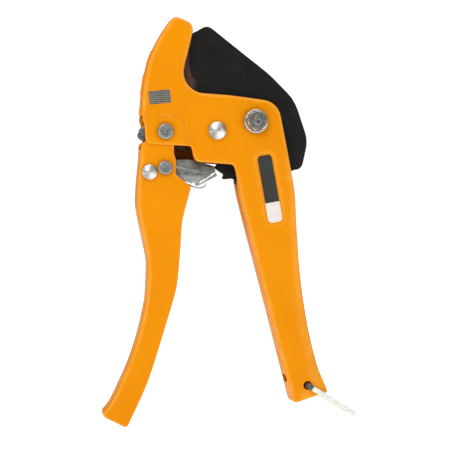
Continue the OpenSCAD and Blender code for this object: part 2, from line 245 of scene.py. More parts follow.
def inside(points, loop):
    """Which points lie inside a loop."""
    x, y = points[:, 0][:, None], points[:, 1][:, None]
    ax, ay = loop[:, 0][None, :], loop[:, 1][None, :]
    bx, by = np.roll(loop[:, 0], -1)[None, :], np.roll(loop[:, 1], -1)[None, :]
    crosses = (ay > y) != (by > y)
    cut = (bx - ax) * (y - ay) / np.where(by == ay, 1e-9, by - ay) + ax
    return np.sum(crosses & (x < cut), axis=1) % 2 == 1


def distance_to(points, starts, ends):
    """Shortest distance from each point to a set of segments."""
    way = ends - starts
    square = np.maximum(np.sum(way * way, axis=1), 1e-12)
    gap = points[:, None, :] - starts[None, :, :]
    u = np.clip(np.einsum("ijk,jk->ij", gap, way) / square, 0, 1)
    off = gap - u[:, :, None] * way[None, :, :]
    return np.sqrt(np.min(np.sum(off * off, axis=2), axis=1))


def distance_round(points, loop):
    """Shortest distance from each point to a closed loop."""
    return distance_to(points, loop, np.roll(loop, -1, axis=0))


def eased(u, size=1):
    """A smooth step from nothing to size."""
    return size * u * u * (3 - 2 * u)


def circle(centre, r, count):
    angles = np.arange(count) * 2 * math.pi / count
    return np.column_stack([centre[0] + r * np.cos(angles), centre[1] + r * np.sin(angles)])


def grid(low, high, step):
    """Points of a triangular grid that fills a box."""
    out = []
    rows = int((high[1] - low[1]) / (step * 0.866)) + 1
    for r in range(rows):
        y = low[1] + r * step * 0.866
        shift = 0.5 * step * (r % 2)
        out += [(x, y) for x in np.arange(low[0] + shift, high[0], step)]
    return np.array(out)


# --- Objects and faces ---

def add_object(name, data):
    thing = bpy.data.objects.new(name, data)
    bpy.context.scene.collection.objects.link(thing)
    return thing


def mark_vertices(piece, name, values):
    """Stores one number for each vertex, for the materials to read."""
    layers = piece.data.attributes
    layer = layers.get(name) or layers.new(name, "FLOAT", "POINT")
    layer.data.foreach_set("value", np.array(values, np.float32))


def make_object(name, verts, faces, marks=None):
    mesh = bpy.data.meshes.new(name)
    mesh.from_pydata([tuple(v) for v in verts], [], faces)
    mesh.update()
    piece = add_object(name, mesh)
    if marks is not None:
        mark_vertices(piece, "edge", marks)
    return piece


def ring_faces(rings, count, closed=False):
    """Quads between rings of count vertices; closed also joins the last ring to the first."""
    faces = []
    for ring in range(rings if closed else rings - 1):
        near = ring * count
        far = (ring + 1) % rings * count
        for i in range(count):
            j = (i + 1) % count
            faces.append((near + i, near + j, far + j, far + i))
    return faces


def end_faces(rings, count):
    """Polygons over the first and the last ring."""
    return [tuple(range(count - 1, -1, -1)), tuple(range((rings - 1) * count, rings * count))]


# --- Pressed sheet: a face with rounded edges and walls, later thickened ---

EDGE_STEPS = 6
SHEET = 1.5
SEAM_SHUT = 0.01
ROOM_SHARE = 0.85
SMALLEST_R = 0.25
OUTLINE_STEP = 0.8
COARSE_STEP = 3.2
GRIP_TOP = -45
GRIP_LENGTH = 95


def down_grip(y):
    """How far down the fixed handle a height lies, from 0 to 1."""
    return np.clip((GRIP_TOP - y) / GRIP_LENGTH, 0, 1)


def centre_line(outline):
    """The fixed handle's middle at each outline point's height."""
    low, high = outline[np.argmin(outline[:, 1])], outline[np.argmax(outline[:, 0])]
    foot = (low + high) / 2
    return foot[0] * np.clip(outline[:, 1] / foot[1], 0, 1)


def fill_face(boundary, holes, extra):
    """Triangles between a boundary loop and hole loops, with extra points inside."""
    loops = [boundary] + holes
    points = [Vector(p) for loop in loops for p in loop]
    edges = []
    base = 0
    for loop in loops:
        edges += [(base + k, base + (k + 1) % len(loop)) for k in range(len(loop))]
        base += len(loop)
    points += [Vector(p) for p in extra]
    verts, _, faces, origins, _, _ = delaunay_2d_cdt(points, edges, [], 0, 1e-5)
    verts = np.array([tuple(v) for v in verts])
    centres = np.array([verts[list(f)].mean(axis=0) for f in faces])
    keep = inside(centres, boundary)
    for hole in holes:
        keep &= ~inside(centres, hole)
    return verts, [f for f, k in zip(faces, keep) if k], origins


def wall_depths(node, p, normals, probe):
    """How far towards the middle plane the wall at each outline point reaches."""
    tree = cad_tree(node)
    depths = []
    for point, normal in zip(p, normals):
        x, y = point + probe * normal
        hit, way, _, _ = tree.ray_cast(row(x, y, 0), -BACKWARDS)
        depths.append(0.0 if hit is None or way.y < 0 else depth_of(hit))
    return np.array(depths)


def cap(inner, holes, extra, first, count):
    """Closes a half inside its last ring, whose vertices are numbered from first on.

    Gives the added points, which are numbered from count on, and the faces.
    """
    chosen = extra[inside(extra, inner)]
    chosen = chosen[distance_round(chosen, inner) > 0.6]
    for hole in holes:
        chosen = chosen[(distance_round(chosen, hole) > 0.4) & ~inside(chosen, hole)]
    points, triangles, origins = fill_face(inner, holes, chosen)
    place, added = {}, []
    for v, point in enumerate(points):
        same = [o for o in origins[v] if o < len(inner)]
        if same:
            place[v] = first + same[0]
        else:
            place[v] = count + len(added)
            added.append(point)
    return np.array(added), [tuple(place[v] for v in f) for f in triangles]


def seam_rim(outline, depths, fold):
    """Depth of the rounded seam's rim: shut, except at windows and on the grip's inner flange."""
    inner_flange = ~(outline[:, 0] > centre_line(outline)) & (outline[:, 1] < -40)
    return np.where(inner_flange | (depths > 0.5), depths + 0.35 * fold, SEAM_SHUT)


def pressed_half(outline, depths, radius, height, holes, extra, wall_rows=3, lip=0.0):
    """One half of a pressed part as vertices in mm, faces and edge marks; lip rounds the seam."""
    normals = inward(outline)
    top = height(outline)
    limit = np.minimum(radius, ROOM_SHARE * room(outline, normals))
    limit = np.minimum(limit, np.maximum(top - depths - 0.3, SMALLEST_R))
    r = softened(limit, 4)
    n = len(outline)
    verts, marks = [], []
    if lip:
        fold = softened(lip * (depths < 0.5), 1)
        rim = seam_rim(outline, depths, fold)
        verts.append(np.column_stack([outline + normals * fold[:, None], rim]))
        marks.append(np.zeros(n))
        depths = depths + fold
    # Edge marks for the painted highlight: faint at the wall's foot, strongest halfway round the rounded
    # edge.
    for k in range(wall_rows):
        share = k / wall_rows
        verts.append(np.column_stack([outline, depths + (top - r - depths) * share]))
        marks.append(np.full(n, 0.25 if k == 0 else 0.0))
    for k in range(EDGE_STEPS + 1):
        angle = math.radians(90 * k / EDGE_STEPS)
        bent = outline + normals * (r * (1 - math.cos(angle)))[:, None]
        verts.append(np.column_stack([bent, height(bent) - r * (1 - math.sin(angle))]))
        marks.append(np.full(n, math.sin(2 * angle) ** 2))
    rings = len(verts)
    added, triangles = cap(verts[-1][:, :2], holes, extra, (rings - 1) * n, rings * n)
    verts.append(np.column_stack([added, height(added)]))
    marks.append(np.zeros(len(added)))
    return np.vstack(verts), ring_faces(rings, n) + triangles, np.concatenate(marks)


def to_row(verts, side=1):
    return [row(v[0], v[1], side * v[2]) for v in verts]


def two_halves(verts, faces):
    """Vertices and faces of both halves, from the front half's."""
    n = len(verts)
    return to_row(verts) + to_row(verts, -1), faces + [tuple(v + n for v in reversed(f)) for f in faces]


def tidy_mesh(piece, merge=0.02):
    bm = bmesh.new()
    bm.from_mesh(piece.data)
    bmesh.ops.remove_doubles(bm, verts=bm.verts, dist=merge * MM)
    bmesh.ops.dissolve_degenerate(bm, edges=bm.edges, dist=0.002 * MM)
    bmesh.ops.recalc_face_normals(bm, faces=bm.faces)
    bm.to_mesh(piece.data)
    bm.free()


def outwards(piece, outside):
    """Turns the faces so that the one nearest a point on the outside faces the front."""
    mesh = piece.data
    best = min(mesh.polygons, key=lambda f: (f.center - outside).length)
    if best.normal.y > 0:
        mesh.flip_normals()


def smooth(piece, angle=40):
    """Smooth shading, with sharp edges over an angle in degrees."""
    mesh = piece.data
    mesh.polygons.foreach_set("use_smooth", [True] * len(mesh.polygons))
    bm = bmesh.new()
    bm.from_mesh(mesh)
    for edge in bm.edges:
        if len(edge.link_faces) == 2:
            edge.smooth = edge.calc_face_angle(0) < math.radians(angle)
    bm.to_mesh(mesh)
    bm.free()


def bake_modifiers(piece):
    """Replaces the piece's mesh with what its modifiers make of it."""
    bpy.context.view_layer.update()
    graph = bpy.context.evaluated_depsgraph_get()
    mesh = bpy.data.meshes.new_from_object(piece.evaluated_get(graph))
    old = piece.data
    piece.modifiers.clear()
    piece.data = mesh
    mesh.name = piece.name
    bpy.data.meshes.remove(old)


def thicken(piece, thickness):
    solid = piece.modifiers.new("sheet", "SOLIDIFY")
    solid.thickness = thickness * MM
    solid.offset = -1
    solid.use_even_offset = False
    solid.use_quality_normals = True
    bake_modifiers(piece)


def round_rim(piece, width):
    bevel = piece.modifiers.new("rim", "BEVEL")
    bevel.width = width * MM
    bevel.segments = 2
    bevel.limit_method = "ANGLE"
    bevel.angle_limit = math.radians(30)
    bevel.use_clamp_overlap = True
    bake_modifiers(piece)


# --- Materials ---

class Look:
    """The nodes of one material or world, and short ways of adding to them."""

    def __init__(self, owner):
        owner.use_nodes = True
        self.owner = owner
        self.nodes = owner.node_tree.nodes
        self.shader = self.nodes.get("Principled BSDF")

    def give(self, node, values):
        """Sets inputs to numbers or colours, or links them to outputs."""
        for socket, value in values.items():
            target = node.inputs[socket]
            if isinstance(value, bpy.types.NodeSocket):
                self.owner.node_tree.links.new(value, target)
            else:
                target.default_value = (*value, 1) if target.type == "RGBA" else value

    def output(self, kind, name):
        return self.nodes.new(kind).outputs[name]

    def noise(self, scale, detail=3, rough=0.55, stretch=None):
        """Noise in the object's space; stretch holds three scales and three angles."""
        source = self.output("ShaderNodeTexCoord", "Object")
        if stretch:
            mapping = self.nodes.new("ShaderNodeMapping")
            self.give(mapping, {"Scale": stretch[:3], "Rotation": stretch[3:], "Vector": source})
            source = mapping.outputs["Vector"]
        tex = self.nodes.new("ShaderNodeTexNoise")
        self.give(tex, {"Scale": scale, "Detail": detail, "Roughness": rough, "Vector": source})
        return tex.outputs["Fac"]

    def ramp(self, fac, *stops):
        node = self.nodes.new("ShaderNodeValToRGB")
        elements = node.color_ramp.elements
        while len(elements) < len(stops):
            elements.new(0.5)
        for element, (place, colour) in zip(elements, stops):
            element.position = place
            element.color = (*colour, 1)
        self.give(node, {"Fac": fac})
        return node.outputs["Color"]

    def mottle(self, dark, light, *grain):
        """Noise that runs between two colours."""
        return self.ramp(self.noise(*grain), (0.3, dark), (0.7, light))

    def mixed(self, fac, a, b, mode="MIX"):
        node = self.nodes.new("ShaderNodeMix")
        node.data_type = "RGBA"
        node.blend_type = mode
        self.give(node, {0: fac, 6: a, 7: b})
        return node.outputs[2]

    def maths(self, operation, *values):
        node = self.nodes.new("ShaderNodeMath")
        node.operation = operation
        self.give(node, dict(enumerate(values)))
        return node.outputs[0]

    def mark(self, name):
        """The numbers that mark_vertices has stored under a name."""
        node = self.nodes.new("ShaderNodeAttribute")
        node.attribute_name = name
        return node.outputs["Fac"]

    def cover(self, tone, rough, specular=0.5, metallic=0.0):
        self.give(self.shader, {"Base Color": tone, "Roughness": rough,
                                "Specular IOR Level": specular, "Metallic": metallic})

    def bump(self, *heights):
        """Chains bump maps, each given as a height, a strength and a depth in mm."""
        normal = {}
        for height, strength, depth in heights:
            node = self.nodes.new("ShaderNodeBump")
            self.give(node, {"Strength": strength, "Distance": depth * MM, "Height": height, **normal})
            normal = {"Normal": node.outputs["Normal"]}
        self.give(self.shader, normal)


def grey(value):
    return (value, value, value)


def paint(name, base, dark, bright, rough=0.36):
    """Satin powder coat: slow colour change, painted highlights on bent edges and marked bands, specks and
    dents, and painted shade round heads.
    """
    look = Look(bpy.data.materials.new(name))
    body = look.mottle(dark, base, 28, 2, 0.5)
    # painted highlight: the edge marks lighten the coat towards the bright colour
    painted_highlight_mask = look.maths("MULTIPLY", look.mark("edge"), look.mottle(grey(0.35), grey(1.0), 160, 4, 0.6))
    coat = look.mixed(look.maths("MULTIPLY", painted_highlight_mask, 0.8), body, bright)
    specks = look.ramp(look.noise(900, 2, 0.6), (0.76, grey(0.0)), (0.8, grey(1.0)))
    coat = look.mixed(specks, coat, tuple(0.45 * c for c in dark))
    # painted shade: the coat darkens round rivet and nut heads
    painted_head_shade = look.maths("MULTIPLY", look.mark("halo"), 0.55)
    coat = look.mixed(painted_head_shade, coat, (0.74 * dark[0], 0.66 * dark[1], dark[2]))
    look.cover(coat, look.mottle(grey(rough - 0.06), grey(rough + 0.1), 75, 3, 0.6), specular=0.06)
    look.bump((look.noise(1300, 2, 0.5), 0.10, 0.02), (look.noise(95, 2, 0.4), 0.12, 0.25))
    return look.owner


def metal(name, base, dark, rough, scale=420, scratch=(1, 1, 9, 0, 0.6, 0), spots=0.0, bright=None,
          relief=1.0, metallic=1.0):
    """Zinc or steel: mottled tone, fine grain or scratches along one way, uneven roughness."""
    look = Look(bpy.data.materials.new(name))
    tone = look.ramp(look.noise(scale, 4, 0.65), (0.35, dark), (0.62, base))
    # the marked vertices take the given colour: worn rims on flat heads, lighter rings on the nut and bolt,
    # painted reflection lobes on domes, painted shade on the lever's hidden part and painted dark
    # reflections at the bail's bends
    if bright:
        tone = look.mixed(look.mark("edge"), tone, bright)
    lines = look.noise(260, 3, 0.7, scratch)
    streak = look.ramp(lines, (0.42, grey(0.62)), (0.56, grey(1.0)))
    tone = look.mixed(0.55, tone, look.mixed(1.0, tone, streak, "MULTIPLY"))
    if spots:
        dirt = look.ramp(look.noise(1500, 3, 0.7), (0.6, grey(0.0)), (0.7, grey(spots)))
        tone = look.mixed(dirt, tone, tuple(0.25 * c for c in dark))
    uneven = look.mottle(grey(max(rough - 0.12, 0.05)), grey(rough + 0.14), scale * 0.6, 4, 0.6)
    look.cover(tone, uneven, metallic=metallic)
    look.bump((lines, 0.22 * relief, 0.03), (look.noise(scale * 1.6, 3, 0.6), 0.25 * relief, 0.05))
    return look.owner


def blade_coating():
    """Black satin coating with pale specks, and a painted brown reflection of the orange jaw on the ground
    bevel.
    """
    look = Look(bpy.data.materials.new("blade_coating"))
    tone = look.mottle(grey(0.006), (0.013, 0.013, 0.0118), 60, 3, 0.6)
    specks = look.ramp(look.noise(1700, 2, 0.75), (0.60, grey(0.0)), (0.72, grey(0.6)))
    tone = look.mixed(specks, tone, (0.10, 0.10, 0.095))
    # painted reflection: the ground bevel shows the orange jaw as brown
    bevel_reflection = look.mottle((0.070, 0.034, 0.028), (0.140, 0.075, 0.060), 300, 3, 0.6, (14, 1, 1, 0, 0.5, 0))
    tone = look.mixed(look.mark("bevel"), tone, bevel_reflection)
    tone = look.mixed(look.maths("MULTIPLY", look.mark("edge"), 0.35), tone, grey(0.16))
    look.cover(tone, look.mottle(grey(0.42), grey(0.6), 500, 3, 0.6), specular=0.1)
    look.bump((look.noise(1500, 3, 0.7), 0.45, 0.06), (look.noise(180, 2, 0.5), 0.10, 0.15))
    return look.owner


def film(name, base, dark):
    """Plain printed film."""
    look = Look(bpy.data.materials.new(name))
    look.cover(look.mottle(dark, base, 130, 3, 0.6), look.mottle(grey(0.34), grey(0.46), 320, 3, 0.6))
    look.bump((look.noise(900, 2, 0.5), 0.12, 0.02))
    return look.owner


def sticker_film():
    """Grey printed film with fine wavy lines and no lettering."""
    look = Look(bpy.data.materials.new("sticker_film"))
    wave = look.nodes.new("ShaderNodeTexWave")
    wave.wave_type = "BANDS"
    wave.bands_direction = "Z"
    look.give(wave, {"Scale": 260, "Distortion": 5.0, "Detail": 1.0, "Detail Scale": 0.35,
                     "Vector": look.output("ShaderNodeTexCoord", "Object")})
    lines = look.ramp(wave.outputs["Fac"], (0.78, grey(0.0)), (0.95, grey(0.55)))
    base = look.mottle((0.075, 0.070, 0.058), (0.115, 0.108, 0.090), 200, 3, 0.6)
    tone = look.mixed(lines, base, (0.42, 0.40, 0.36))
    look.cover(tone, look.mottle(grey(0.3), grey(0.45), 240, 2, 0.5))
    look.bump((look.noise(700, 2, 0.5), 0.1, 0.02))
    return look.owner


def dress(piece, mat, slot, body, *nodes):
    """Gives a piece its material and body, and says which CAD nodes it stands for; its slot is not used.

    A piece without a body is blended between two bodies afterwards.
    """
    piece.data.materials.clear()
    piece.data.materials.append(mat)
    if body:
        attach(piece, body)
    if nodes:
        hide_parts(*nodes)


# --- Shells ---

SEAM_LIP = 0.6
LABEL_SLOPE = 0.95
LABEL_DEPTH = 0.35
NOTCH_DEPTH = 5.3
EDGE_R = 2.3
PAD_RAMP = 1.3
PAD_BAND = 2.4
HEAD_ROWS = (-0.3, 0.3, 1.0, 1.8, 2.8, 4.0)
LABEL_ROWS = (-0.3, 0, 0.3, 0.6, 0.85, 1.1)
BAIL_HOLE_R = 2.4
IN_FRONT = 40
FLANGE_R = 6.7
# Shank radius, head radius, head height, domed or flat, body
RIVETS = {
    "handle_pivot_pin": (3.0, 4.3, 1.7, False, "body"),
    "pawl_pivot_pin": (2.5, 3.9, 1.5, False, "handle"),
    "stop_rivet_pin": (2.5, 4.9, 2.3, True, "body"),
    "spring_anchor_rivet": (2.2, 4.2, 2.1, True, "handle"),
}


def heads_of(*rivets):
    return [(middle(node), RIVETS[node][1]) for node in rivets]


def head_rings(heads):
    """Rings of points round rivet and nut heads."""
    return [circle(centre, r + step, 40) for centre, r in heads for step in HEAD_ROWS]


def head_shade(verts, heads, face):
    """Marks on the face for a painted shade that fades out round each head."""
    shade = np.zeros(len(verts))
    for centre, r in heads:
        off = np.hypot(*(verts[:, :2] - centre).T) - r
        shade = np.maximum(shade, (verts[:, 2] > face - 0.6) * np.exp(-(np.maximum(off, 0) / 1.7) ** 2))
    return shade


def shell_edges():
    """Depths of the face and its raised pad, the pad's boundary and the shell's other edges."""
    face = depth_of(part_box("small_sticker")[1])
    top = front_of("front_shell")
    low_edges = set(border(face_edges("front_shell", face)))
    high_edges = set(border(face_edges("front_shell", top)))
    both = low_edges | high_edges
    shared = [e for e in high_edges if (e[1], e[0]) in low_edges]
    return face, top, segments(shared), [e for e in both if (e[1], e[0]) not in both]


def shell_height(face, top, pad, rim):
    """A function for the face's depth: the raised pad with its ramp, and the label's recess."""
    tree = cad_tree("front_shell")
    corner = pad[0].max(axis=0)

    def is_raised(point):
        hit = tree.ray_cast(row(point[0], point[1], IN_FRONT), BACKWARDS)[0]
        if hit is None:
            return point[1] < corner[1] and point[0] < corner[0] and point[1] > -19
        return depth_of(hit) > (face + top) / 2

    def height(points):
        depths = np.full(len(points), face)
        for i, (point, gap) in enumerate(zip(points, distance_to(points, *pad))):
            signed = gap if is_raised(point) else -gap
            depths[i] += eased(min(max((signed + 0.4 * PAD_RAMP) / PAD_RAMP, 0), 1), top - face)
        if rim is not None:
            out = np.clip(distance_round(points, rim) / LABEL_SLOPE, 0, 1)
            depths -= LABEL_DEPTH * (1 - eased(np.where(inside(points, rim), 0, out)))
        return depths
    return height


def near_notch(outline, depths):
    """Which outline points lie at the notch in the wall at the handle's foot."""
    notch = outline[(depths > 2) & (outline[:, 1] < 0.8 * outline[:, 1].min())]
    return np.array([np.min(np.hypot(*(notch - point).T), initial=99) < 2.2 for point in outline])


def label_rim(loops):
    """The edge of the label's recess."""
    centre = (middle("label_dark") + middle("label_pale")) / 2
    large = [loop for loop in loops if len(loop) > 8]
    recess = min(large, key=lambda loop: np.hypot(*(loop.mean(axis=0) - centre)))
    return even_loop(counter_clockwise(recess), 0.45)


def shell_points(outline, pad, rim):
    """Points on the face: coarse, fine along the pad's edge, and in rows along the label's rim."""
    coarse = grid(outline.min(axis=0), outline.max(axis=0), COARSE_STEP)
    fine = grid(pad[0].min(axis=0) - 3, pad[0].max(axis=0) + 3, 0.6)
    points = [coarse[distance_to(coarse, *pad) > PAD_BAND], fine[distance_to(fine, *pad) < PAD_BAND]]
    if rim is not None:
        points = [p[distance_round(p, rim) > 1.4] for p in points]
        points += [rim - inward(rim) * LABEL_SLOPE * step for step in LABEL_ROWS]
    return points


def shell_marks(verts, marks, back, shown, pad, rim):
    """Adds painted highlight bands: the grip's outer edge, the pad's edge and the label's slope."""
    spots = verts[:, :2]
    back = back[np.argsort(back[:, 1])]
    in_handle = np.clip((-16 - verts[:, 1]) / 12, 0, 1)
    reach = 2.2 + 3.6 * down_grip(verts[:, 1])
    band = distance_to(spots, back[:-1], back[1:]) - 0.75 * reach
    marks = np.maximum(marks, 0.75 * in_handle * np.exp(-(band / (0.42 * reach)) ** 2) * (verts[:, 2] > 4))
    marks = np.maximum(marks, shown * 0.8 * np.exp(-(distance_to(spots, *pad) / 0.5) ** 2))
    if rim is not None:
        off = distance_round(spots, rim) - 0.75 * LABEL_SLOPE
        marks = np.maximum(marks, shown * np.exp(-(off / 0.3) ** 2))
    return marks


def build_shell(name, side, with_label):
    """One shell with its folded seam; side is 1 for the front and -1 for the rear."""
    face, top, pad, outer = shell_edges()
    loops = loops_of(outer)
    outline = even_loop(smooth_loop(counter_clockwise(loops[0]), OUTLINE_STEP), OUTLINE_STEP)
    depths = wall_depths("front_shell", outline, inward(outline), 0.7)
    depths[near_notch(outline, depths)] = NOTCH_DEPTH
    rim = label_rim(loops[1:]) if with_label else None
    hole = circle(flat(PIVOT["bail_pivot"]), BAIL_HOLE_R, 32)
    heads = heads_of("handle_pivot_pin", "stop_rivet_pin") + [(middle("blade_pivot_bolt"), FLANGE_R)]
    points = shell_points(outline, pad, rim) + head_rings(heads)
    outer_side = outline[:, 0] > centre_line(outline)
    radius = EDGE_R + eased(down_grip(outline[:, 1]), 5.2) * outer_side
    verts, faces, marks = pressed_half(outline, depths, radius, shell_height(face, top, pad, rim), [hole],
                                       np.vstack(points), lip=SEAM_LIP)
    shown = verts[:, 2] > face - 0.6
    marks = shell_marks(verts, marks, outline[outer_side & (outline[:, 1] < -14)], shown, pad, rim)
    piece = make_object(name, to_row(verts, side), faces, marks)
    mark_vertices(piece, "halo", head_shade(verts, heads, face))
    tidy_mesh(piece)
    outwards(piece, row(0, -20, side * face))
    if side < 0:
        piece.data.flip_normals()
    thicken(piece, SHEET - 0.1)
    smooth(piece)
    return piece


# --- Moving handle ---

def build_handle():
    """The handle's channel: two cheeks and the spine between them."""
    node = "moving_handle"
    face = front_of(node)
    loops = loops_of(border(face_edges(node, face)))
    outline = even_loop(smooth_loop(counter_clockwise(loops[0]), OUTLINE_STEP), OUTLINE_STEP)
    depths = wall_depths(node, outline, inward(outline), 0.6)
    heads = heads_of("pawl_pivot_pin", "spring_anchor_rivet")
    extra = [grid(outline.min(axis=0), outline.max(axis=0), COARSE_STEP)] + head_rings(heads)
    verts, faces, marks = pressed_half(outline, depths, EDGE_R, lambda p: np.full(len(p), face), [],
                                       np.vstack(extra))
    piece = make_object("handle_channel", *two_halves(verts, faces), np.tile(marks, 2))
    mark_vertices(piece, "halo", np.tile(head_shade(verts, heads, face), 2))
    tidy_mesh(piece)
    outwards(piece, row(-50, -60, face))
    thicken(piece, SHEET - 0.1)
    smooth(piece)
    return piece


# --- Turned parts, built from a profile of radius and depth ---

def turned(name, centre, profile, side=1, count=72, marks=None):
    verts, values = [], []
    for k, (r, t) in enumerate(profile):
        for i in range(count):
            a = 2 * math.pi * i / count
            verts.append(row(centre[0] + r * math.cos(a), centre[1] + r * math.sin(a), side * t))
            values.append(marks[k] if marks else 0.0)
    piece = make_object(name, verts, ring_faces(len(profile), count), values)
    tidy_mesh(piece, 0.01)
    return piece


def join(name, pieces):
    """Makes one object of several and removes them."""
    bm = bmesh.new()
    for piece in pieces:
        bm.from_mesh(piece.data)
    mesh = bpy.data.meshes.new(name)
    bm.to_mesh(mesh)
    bm.free()
    for piece in pieces:
        bpy.data.objects.remove(piece)
    return add_object(name, mesh)


DOME_STEPS = 14


def flat_head_profile(seat, r, h):
    """Peened flat head: crowned slightly, with a soft rim and a shallow ring on top."""
    pts = [(0.0, seat + h - 0.12), (r * 0.28, seat + h - 0.13), (r * 0.55, seat + h - 0.05),
           (r * 0.72, seat + h)]
    for k in range(6):
        a = math.radians(15 + 75 * k / 5)
        pts.append((r - 0.75 + 0.75 * math.sin(a), seat + h - 0.75 + 0.75 * math.cos(a)))
    pts.append((r, seat - 0.5))
    pts.append((0.0, seat - 0.5))
    marks = [0, 0, 0.1, 0.5] + [0.9, 0.9, 0.7, 0.5, 0.3, 0.2] + [0, 0]
    return pts, marks


def dome_profile(seat, r, h):
    """Polished shallow dome with a thin straight rim."""
    rim = 0.5
    rise = h - rim
    ball = (r * r + rise * rise) / (2 * rise)
    pts = []
    reach = math.asin(min(r / ball, 1))
    for k in range(DOME_STEPS + 1):
        a = reach * k / DOME_STEPS
        pts.append((ball * math.sin(a), seat + h - ball + ball * math.cos(a)))
    pts.append((r + 0.05, seat + rim - 0.15))
    pts.append((r, seat - 0.5))
    pts.append((0.0, seat - 0.5))
    return pts, [0.0] * len(pts)


def shade_lobes(head, centre, r):
    """Marks the painted reflection lobes, bright and dark, round a polished dome."""
    values = []
    for vertex in head.data.vertices:
        x, y = flat(vertex.co) - centre
        turn = 2.2 * math.atan2(y, x) - 4.2
        spread = min(math.hypot(x, y) / (0.5 * r), 1.0)
        values.append(0.5 + 0.5 * math.cos(turn) * spread)
    mark_vertices(head, "edge", values)


def build_rivet(node):
    """Both heads and the shank of one rivet."""
    shank, r, rise, domed = RIVETS[node][:4]
    centre = middle(node)
    front = front_of(node)
    shape = dome_profile if domed else flat_head_profile
    pieces = []
    for side, end in ((1, front), (-1, -rear_of(node))):
        profile, marks = shape(end - rise, r, rise)
        head = turned(node + "_head", centre, profile, side, marks=marks)
        if domed:
            shade_lobes(head, centre, r)
        pieces.append(head)
    reach = front - rise - 0.2
    pieces.append(turned(node + "_shank", centre, [(shank, -reach), (shank, reach)], count=40))
    piece = join(node + "_rivet", pieces)
    tidy_mesh(piece, 0.001)
    smooth(piece)
    return piece


# --- Nut and bolt at the blade's pivot ---

NUT_SEAT = front_of("small_sticker") - 0.12
ACROSS_FLATS = 10
HEX_STEPS = 144
# Inset from the flange's radius, and height over the seat
FLANGE_CURVE = ((0.95, 1.62), (0.35, 1.38), (0.08, 1.12), (0, 0.75), (0, 0.25), (0.15, 0.0))
WORN_HEX_RINGS = (4, 5, 9)


def hex_radius(angle, turn):
    a = (math.degrees(angle) - turn) % 60 - 30
    return ACROSS_FLATS / 2 / math.cos(math.radians(a))


def hex_part(name, side, top, turn=0, hole=0.0):
    """Flange nut or bolt head: rounded flange, hexagon with the turned chamfer on its corners."""
    angles = [2 * math.pi * i / HEX_STEPS + math.radians(turn) for i in range(HEX_STEPS)]
    chamfer_r = ACROSS_FLATS / 2 * 0.97
    seat = NUT_SEAT

    def round_ring(r, t):
        return [(a, r, t) for a in angles]

    def hex_ring(inset, t, slope=0.0):
        radii = [hex_radius(a, turn) - inset for a in angles]
        return [(a, r, t - max(r - chamfer_r, 0) * slope) for a, r in zip(angles, radii)]

    if hole:
        inner = ((hole, seat + 0.5), (hole, top - 0.35), (hole + 0.35, top))
    else:
        inner = ((0.0, top - 0.25), (ACROSS_FLATS * 0.30, top - 0.25), (ACROSS_FLATS * 0.36, top))
    chamfer = math.tan(math.radians(30))
    rings = [round_ring(r, t) for r, t in inner + ((chamfer_r, top),)]
    rings += [hex_ring(0.12, top - 0.05, chamfer), hex_ring(0.0, top - 0.25, chamfer),
              hex_ring(0.0, seat + 2.3), hex_ring(-0.15, seat + 1.95)]
    rings += [round_ring(FLANGE_R - inset, seat + t) for inset, t in FLANGE_CURVE]
    rings.append(round_ring(hole, seat))
    verts = [row(r * math.cos(a), r * math.sin(a), side * t) for ring in rings for a, r, t in ring]
    marks = [0.8 if k in WORN_HEX_RINGS else 0.0 for k in range(len(rings)) for _ in angles]
    piece = make_object(name, verts, ring_faces(len(rings), HEX_STEPS, bool(hole)), marks)
    tidy_mesh(piece, 0.005)
    smooth(piece, 28)
    return piece


def build_bolt():
    """Threaded stud through the nut, with a hexagon flange head on the rear."""
    end = front_of("blade_pivot_bolt")
    profile = [(2.95, -NUT_SEAT), (2.95, NUT_SEAT - 1.2)]
    t = NUT_SEAT - 1.0
    while t < end - 0.9:
        profile += [(2.62, t), (2.98, t + 0.36), (2.98, t + 0.48), (2.62, t + 0.84)]
        t += 1.0
    profile += [(2.55, end - 0.45), (2.25, end - 0.12), (1.9, end), (1.2, end - 0.10),
                (0.6, end - 0.22), (0.0, end - 0.2)]
    shank = turned("bolt_stud", (0, 0), profile, count=64)
    piece = join("pivot_bolt", [shank, hex_part("bolt_head", -1, 14.0)])
    smooth(piece, 34)
    return piece


# --- Blade ---

HUB_R = 5
BEVEL_WIDTH = 7.3
BEVEL_ROWS = (0, 0.35, -0.35)
EDGE_HALF = 0.12


